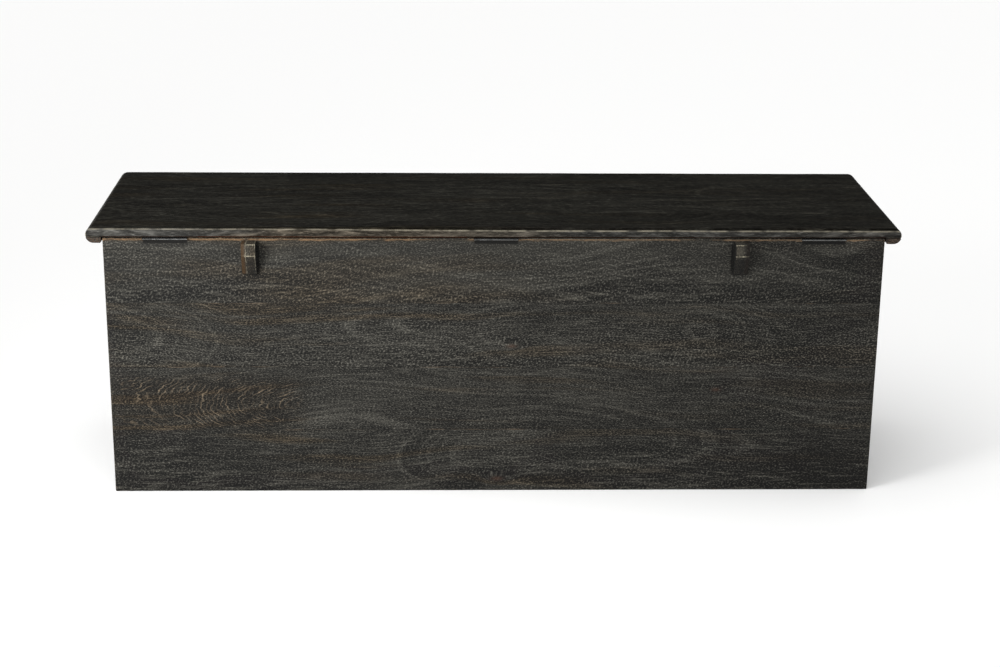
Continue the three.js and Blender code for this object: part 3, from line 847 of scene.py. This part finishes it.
BACK_PATCHES = (
    # along, up, half length, half width, how much paler
    (-0.45, 0.290, 0.22, 0.035, -0.05),
    (-0.54, 0.272, 0.17, 0.040, -0.10),
    (0.61, 0.265, 0.06, 0.050, -0.09),
    (0.275, 0.160, 0.07, 0.040, 0.09),
    (0.20, 0.015, 0.26, 0.028, 0.09),
    (0.30, 0.420, 0.42, 0.045, 0.06),
    (-0.05, 0.370, 0.16, 0.030, 0.07),
    (-0.17, 0.165, 0.12, 0.035, 0.06),
    (-0.35, 0.065, 0.14, 0.022, -0.06),
    (-0.50, 0.405, 0.14, 0.035, 0.05),
    (-0.36, 0.287, 0.05, 0.020, -0.11),
    (-0.377, 0.089, 0.03, 0.020, -0.09),
    (0.55, 0.278, 0.04, 0.020, -0.08),
)
BACK_FEATURES = {
    "knots": ((-0.0275, 0.262, 0.010), (-0.005, 0.022, 0.012), (-0.376, 0.184, 0.009)),
    "arcs": {"run": (0.28, 0.66), "depth": (0.018, 0.105), "centre": 0.160, "reach": 0.056},
    "rubbed_top": 0.64,
    "shade_and_tint_bands": [hinge_shadow(name) for name in HINGES] + [stop_shadow(side) for side in SIDES],
    "patches": BACK_PATCHES,
}
PANELS = (("back_panel", 0), ("front_panel", 0), ("side_panel_left", 1), ("side_panel_right", 1))


def add_case():
    for index, (node, along) in enumerate(PANELS):
        features = BACK_FEATURES if node == "back_panel" else {}
        grain = ("xzy", "yzx")[along]
        material = wood(node, grain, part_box(node), CASE_LOOK, 3.0 + 8 * index, BOARDS, **features)
        bm = panel_mesh(node, along, 3.0 + index)
        if node == "back_panel":
            bm = cut(bm, back_panel_cuts())
        add_piece(node, bm, material, "case")


# ---- Inner frame ----

def eased_block(node):
    low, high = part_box(node)
    radius = 1.5 * MM
    bm = lattice_box([eased_axis(*ends, radius, 40 * MM) for ends in zip(low, high)])
    ease(bm, low, high, radius, 0.25 * MM, 0.0)
    return bm


def add_inner_frame():
    for side in SIDES:
        for end in ("front", "back"):
            node = f"corner_post_{end}_{side}"
            material = wood(node, "zxy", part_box(node), INNER_LOOK, 71.0 + len(end) + 3 * len(side))
            add_piece(node, eased_block(node), material, "case")
    for end, grain in (("front", "xyz"), ("back", "xyz"), ("left", "yxz"), ("right", "yxz")):
        node = f"bottom_cleat_{end}"
        material = wood(node, grain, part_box(node), INNER_LOOK, 83.0 + len(end))
        add_piece(node, eased_block(node), material, "case")


def add_bottom_panel():
    """Boards notched round the four corner posts."""
    low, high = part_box("bottom_panel")
    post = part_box("corner_post_front_left")[1]
    notch_x = -post.x - GLUE_LINE
    half_y, middle_y = (high.y - low.y) / 2, (high.y + low.y) / 2
    notch_y = half_y - (post.y - low.y) - GLUE_LINE
    quarter = [(high.x, -notch_y), (high.x, notch_y), (notch_x, notch_y), (notch_x, half_y)]
    outline = quarter + [(-x, y) for x, y in quarter[::-1]]
    outline += [(-notch_x, -notch_y), (-notch_x, -half_y), (notch_x, -half_y), (notch_x, -notch_y)]
    bm = loft([[(x, middle_y + y, z) for x, y in outline] for z in (low.z, high.z)])
    sharp = [edge for edge in bm.edges if edge.calc_face_angle(0) > 1]
    bmesh.ops.bevel(bm, geom=sharp, offset=0.8 * MM, segments=2, affect="EDGES", profile=0.6)
    material = wood("bottom_panel", "xyz", (low, high), INNER_LOOK, 97.0, BOARDS)
    add_piece("bottom_panel", bm, material, "case")


# ---- Lid stop blocks ----

STOP_FACE = 20 * MM
STOP_TOE = 5 * MM
SHOULDER, SHOULDER_DEPTH = 8 * MM, 0.82
# The band along a stop block's outer side: painted shade on the left block, a brown tint on the right one
STOP_OUTER_SHADE_AND_TINT = {"left": (0.012, 0.009, 0.007), "right": (0.044, 0.023, 0.008)}
STOP_PALE = {"left": 0.38, "right": 0.10}


def stop_mesh(low, high, outer, shoulder, inner, seed):
    """An upright face, a slope back to a thin toe, and a shoulder drawn in along the outer side."""
    face, toe = high.z - STOP_FACE, low.y + STOP_TOE
    profile = [(low.y, high.z), (high.y, high.z), (high.y, face), (toe, low.z), (low.y, low.z)]
    rings = []
    for x in [outer] + spread(shoulder, inner, 5 * MM):
        share = SHOULDER_DEPTH if x == outer else 1
        rings.append([(x, low.y + (y - low.y) * share, z) for y, z in profile])
    bm = loft(rings)
    sharp = [edge for edge in bm.edges if edge.calc_face_angle(0) > 0.4]
    bmesh.ops.bevel(bm, geom=sharp, offset=1.3 * MM, segments=3, affect="EDGES", profile=0.5)
    for vertex in bm.verts:
        if vertex.co.y > low.y + 2 * MM:
            vertex.co.y -= 0.5 * MM * (0.5 + noise.noise(vertex.co * 60 + Vector((seed * 9, 0, 0))))
    return bm


def stop_wood(node, low, high, outer, shoulder, inner, seed):
    """The block's wood: a ridge worn pale, painted shade on its down-facing slope, toe and inner side, and
    along its outer side painted shade on the left block and a brown tint on the right one.
    """
    side = node.split("_")[-1]
    face, dark = high.z - STOP_FACE, CASE_LOOK["dark"]
    wide = Vector((20 * MM, 0, 0))
    span = ((low.x + high.x) / 2, high.x - low.x, 1.0)
    worn = [(2, face, 0.3 * MM)]
    if side == "right":
        worn += [(0, shoulder, 0.6 * MM), (0, inner + 2.2 * MM, 0.8 * MM)]
    pale = (face + 9 * MM, (shoulder + inner) / 2, 10 * MM, 8 * MM, STOP_PALE[side])
    # Painted shade on the down-facing slope and the inner side, a painted shadow along the toe, and the outer
    # side's band
    shade_and_tint_bands = [
        (2, (low.z + face) / 2 - 2 * MM, 22 * MM, 0.55, span, dark),
        (0, outer, 9 * MM, 0.72, span, STOP_OUTER_SHADE_AND_TINT[side]),
        (2, low.z, 3.5 * MM, 0.85, span, dark),
        (0, inner, 1.8 * MM, 0.95, span, dark),
    ]
    return wood(node, "zxy", (low - wide, high + wide), STOP_LOOK, 61.0 + 6 * seed, ridges=worn, shade_and_tint_bands=shade_and_tint_bands,
                patches=[pale])


def add_lid_stops():
    for seed, side in enumerate(SIDES):
        node = "lid_stop_" + side
        low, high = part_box(node)
        outer, inner = (low.x, high.x) if side == "left" else (high.x, low.x)
        shoulder = outer + (SHOULDER if side == "left" else -SHOULDER)
        bm = stop_mesh(low, high, outer, shoulder, inner, seed)
        material = stop_wood(node, low, high, outer, shoulder, inner, seed)
        add_piece(node, bm, material, "case")
        for level in ("upper", "lower"):
            name = f"lid_stop_screw_{side}_{level}"
            low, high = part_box(name)
            size = {**LONG_SCREW, "length": high.y - low.y}
            add_screw(name, size, FORWARD, ZINC, "case")


# ---- Lid ----

NOSE_RADIUS = (LID_TOP - RIM_LOW.z) / 2
NOSE_MIDDLE = LID_TOP - NOSE_RADIUS
CORNER_RADIUS = 14 * MM
BACK_EASE = 2.2 * MM
CORNER_CUT = 1 * MM


def lid_outline(inset, back_inset):
    """The lid's outline at one height: rounded at the front corners, nearly square at the back ones."""
    x, front, back = LID_HIGH.x - inset, LID_LOW.y + inset, BACK_Y - back_inset
    radius = max(CORNER_RADIUS - inset, 0.5 * MM)
    side, middle = x - radius, front + radius
    points = [(-x, y) for y in evenly(back - CORNER_CUT, middle, 28)[:-1]]
    points += arc((-side, middle), radius, math.pi, 1.5 * math.pi, 8)
    points += [(value, front) for value in evenly(-side, side, 96)[1:-1]]
    points += arc((side, middle), radius, 1.5 * math.pi, 2 * math.pi, 8)
    points += [(x, y) for y in evenly(middle, back - CORNER_CUT, 28)[1:]]
    return points + [(value, back) for value in evenly(x - CORNER_CUT, CORNER_CUT - x, 96)]


def nose(angle):
    """(inset, height) of the bullnose at an angle above its middle."""
    return NOSE_RADIUS * (1 - math.cos(angle)), NOSE_MIDDLE + NOSE_RADIUS * math.sin(angle)


def rounding(height, low, high, radius):
    """How far an eased upright face is drawn in at a height between its two edges."""
    from_edge = min(height - low, high - height)
    if from_edge >= radius:
        return 0.0
    return radius - math.sqrt(max(radius ** 2 - (radius - from_edge) ** 2, 0.0))


def lid_mesh():
    """The lid's board: flat above and below, a bullnose at the front and ends, eased at the back."""
    low, high = LID_LOW.z, LID_HIGH.z
    lowest = math.asin((low - NOSE_MIDDLE) / NOSE_RADIUS)
    flat = 9 * MM
    levels = [(high, NOSE_RADIUS + flat, flat)]
    for angle in evenly(math.pi / 2, lowest, 14):
        inset, height = nose(angle)
        levels.append((height, inset, rounding(height, low, high, BACK_EASE)))
    levels.append((low, levels[-1][1] + flat, flat))
    rings = []
    for height, inset, back_inset in levels:
        ring = []
        for x, y in lid_outline(inset, back_inset):
            place = Vector((x, y, height))
            if 0 < inset < NOSE_RADIUS or 0 < back_inset < BACK_EASE:
                place.z -= 0.25 * MM * (0.4 + noise.noise(place * 18)) * (1 if height > NOSE_MIDDLE else -1)
            ring.append(place)
        rings.append(ring)
    return loft(rings)


def rim_mesh(side):
    """A strip glued under the lid's edge: the lower part of the bullnose, mitred at the front corners."""
    low, high = RIM_LOW.z, LID_LOW.z - GLUE_LINE
    width = 25 * MM
    highest = math.asin((high - NOSE_MIDDLE) / NOSE_RADIUS)
    profile = [nose(angle) for angle in evenly(highest, -math.pi / 2, 8)]
    profile[0] = (profile[0][0] + 0.35 * MM, high)
    profile.insert(1, (profile[0][0] - 0.35 * MM, high - 0.4 * MM))
    profile += [(width - 1 * MM, low), (width, low + 1 * MM), (width, high)]
    length = 2 * LID_HIGH.x if side == "front" else BACK_Y - LID_LOW.y
    mitre_gap = 0.2 * MM

    def path(inset):
        """(distance along, distance in) for a line of the strip at this inset, from the first corner on."""
        middle = max(CORNER_RADIUS, inset)
        corner = arc((middle + mitre_gap, middle), middle - inset, 1.25 * math.pi, 1.5 * math.pi, 5)
        if side == "front":
            straight = spread(width + 2 * MM, length - width - 2 * MM, 14 * MM)
            return corner + [(s, inset) for s in straight] + [(length - s, d) for s, d in corner[::-1]]
        return corner + [(s, inset) for s in spread(width + 2 * MM, length, 14 * MM)]

    paths = [path(inset) for inset, _ in profile]
    rings = []
    for station in range(len(paths[0])):
        ring = []
        for line, (_, height) in zip(paths, profile):
            distance, inward = line[station]
            if side == "front":
                ring.append((-LID_HIGH.x + distance, LID_LOW.y + inward, height))
            else:
                outer = -1 if side == "left" else 1
                ring.append((outer * (LID_HIGH.x - inward), LID_LOW.y + distance, height))
        rings.append(ring)
    return loft(rings)


# Painted shade along the lid's lower edge over the case, warmed to dark brown over part of its length
LID_SEAM_SHADE = [
    (2, LID_LOW.z, 2.6 * MM, 0.95, (0, BACK_HIGH.x, 4 * MM), (0.020, 0.008, 0.004)),
    (2, LID_LOW.z, 2.6 * MM, 0.75, (0.27, 0.22, 4 * MM), (0.050, 0.013, 0.004)),
]


def add_lid():
    material = wood("lid_panel", "xyz", (LID_LOW, LID_HIGH), LID_FINISH_AND_SHADE_LOOK, 41.0, BOARDS, rim=EDGE_LOOK,
                    shade_and_tint_bands=LID_SEAM_SHADE)
    add_piece("lid_panel", lid_mesh(), material, "lid")
    for index, (side, grain) in enumerate((("front", "xyz"), ("left", "yxz"), ("right", "yxz"))):
        node = "lid_rim_" + side
        material = wood(node, grain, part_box(node), RIM_LOOK, 51.0 + 2 * index, ridges=[(1, BACK_Y, 0.0)])
        add_piece(node, rim_mesh(side), material, "lid")


def add_battens():
    """The two battens under the lid, and the screws in them."""
    for index, side in enumerate(SIDES):
        node = "lid_batten_" + side
        material = wood(node, "yxz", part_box(node), INNER_LOOK, 91.0 + 2 * index)
        screws = [f"lid_batten_screw_{side}_{end}" for end in ("front", "back")]
        holes = [screw_hole(LONG_SCREW, head_place(name, DOWN), DOWN) for name in screws]
        add_piece(node, cut(eased_block(node), holes), material, "lid")
        for name in screws:
            add_screw(name, LONG_SCREW, DOWN, ZINC, "lid")


# ---- Hinges ----

LEAF_THICK = 1.5 * MM
LEAF_REACH = 18.8 * MM
LEAF_GAP = 0.25 * MM
KNUCKLE, BORE, PIN = 3.0 * MM, 1.65 * MM, 1.5 * MM
KNUCKLES = 5
KNUCKLE_GAP = 0.2 * MM
TONGUE_TURN = math.radians(311)
SCREW_ROW, SCREW_PITCH = 9 * MM, 24 * MM


def tongue_profile(near, far, plate_end):
    """The outline of a leaf's tongue: out of the plate, round the barrel and back along the bore."""
    first = math.pi - math.asin(far / KNUCKLE)
    last = first - TONGUE_TURN
    outside = arc((0, 0), KNUCKLE, first, last, 30)
    inside = arc((0, 0), BORE, last, math.pi - math.asin(near / BORE), 24)
    root = plate_end - 0.6 * MM
    return [(root, far)] + outside + inside + [(root, near)]


def tongue(profile, first, last):
    """One tongue of a leaf between two places along the pin, with softened ends."""
    soft = 0.3 * MM
    rings = []
    for x, shrink in ((first, soft), (first + soft, 0), (last - soft, 0), (last, soft)):
        scale = 1 - shrink / KNUCKLE * 0.5
        rings.append([(x, y * scale, z * scale) for y, z in profile])
    return loft(rings)


def leaf_mesh(middle, up):
    """A hinge leaf: a plate with three countersunk holes whose tongues are rolled round the pin."""
    low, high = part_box("hinge_case_leaf_middle")
    half = (high.x - low.x) / 2
    near, far = LEAF_GAP, LEAF_GAP + LEAF_THICK
    plate_end = -KNUCKLE - 0.45 * MM
    plate = block((-half, -LEAF_REACH, near), (half, plate_end, far))
    bmesh.ops.bevel(plate, geom=plate.edges[:], offset=0.25 * MM, segments=2, affect="EDGES", profile=0.5)
    parts = [plate]
    profile = tongue_profile(near, far, plate_end)
    pitch = 2 * half / KNUCKLES
    for index in range(KNUCKLES):
        if (index % 2 == 1) == up:
            first = -half + index * pitch
            parts.append(tongue(profile, first + KNUCKLE_GAP, first + pitch - KNUCKLE_GAP))
    whole = joined(parts)
    row = BACK_Y - SCREW_ROW - PIVOT.y
    places = [Vector((x, row, near)) for x in (-SCREW_PITCH, 0, SCREW_PITCH)]
    holes = [screw_hole(HINGE_SCREW, place, DOWN) for place in places]
    for mesh in (whole, *holes):
        if not up:
            mesh.transform(Matrix.Scale(-1, 4, Vector((0, 0, 1))))
            bmesh.ops.recalc_face_normals(mesh, faces=mesh.faces)
        mesh.transform(Matrix.Translation((middle, PIVOT.y, PIVOT.z)))
    return cut(whole, holes)


def pin_mesh(low, high):
    """A hinge pin with a low domed head at each end."""
    half = (high.x - low.x) / 2
    neck, rim = half - 0.8 * MM, 2.2 * MM
    upper = [(PIN, neck), (rim, neck), (rim, neck + 0.3 * MM), (rim * 0.86, neck + 0.6 * MM)]
    upper += [(rim * 0.5, half - 0.05 * MM), (0, half)]
    profile = [(radius, -height) for radius, height in upper[::-1]] + upper
    return turned(profile, 28, Matrix.Rotation(math.pi / 2, 4, "Y"), (low + high) / 2)


def add_hinges():
    for name in HINGES:
        low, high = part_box("hinge_pin_" + name)
        middle = (low.x + high.x) / 2
        add_piece("hinge_pin_" + name, pin_mesh(low, high), BLACK, "case")
        for body, turn in (("case", UP), ("lid", DOWN)):
            leaf = leaf_mesh(middle, body == "lid")
            add_piece(f"hinge_{body}_leaf_{name}", leaf, BLACK, body)
            for index in range(3):
                screw = f"hinge_{body}_screw_{name}_{index + 1}"
                add_screw(screw, HINGE_SCREW, turn, BLACK, body)


add_camera()
add_studio()
add_case()
add_inner_frame()
add_bottom_panel()
add_lid_stops()
add_lid()
add_battens()
add_hinges()
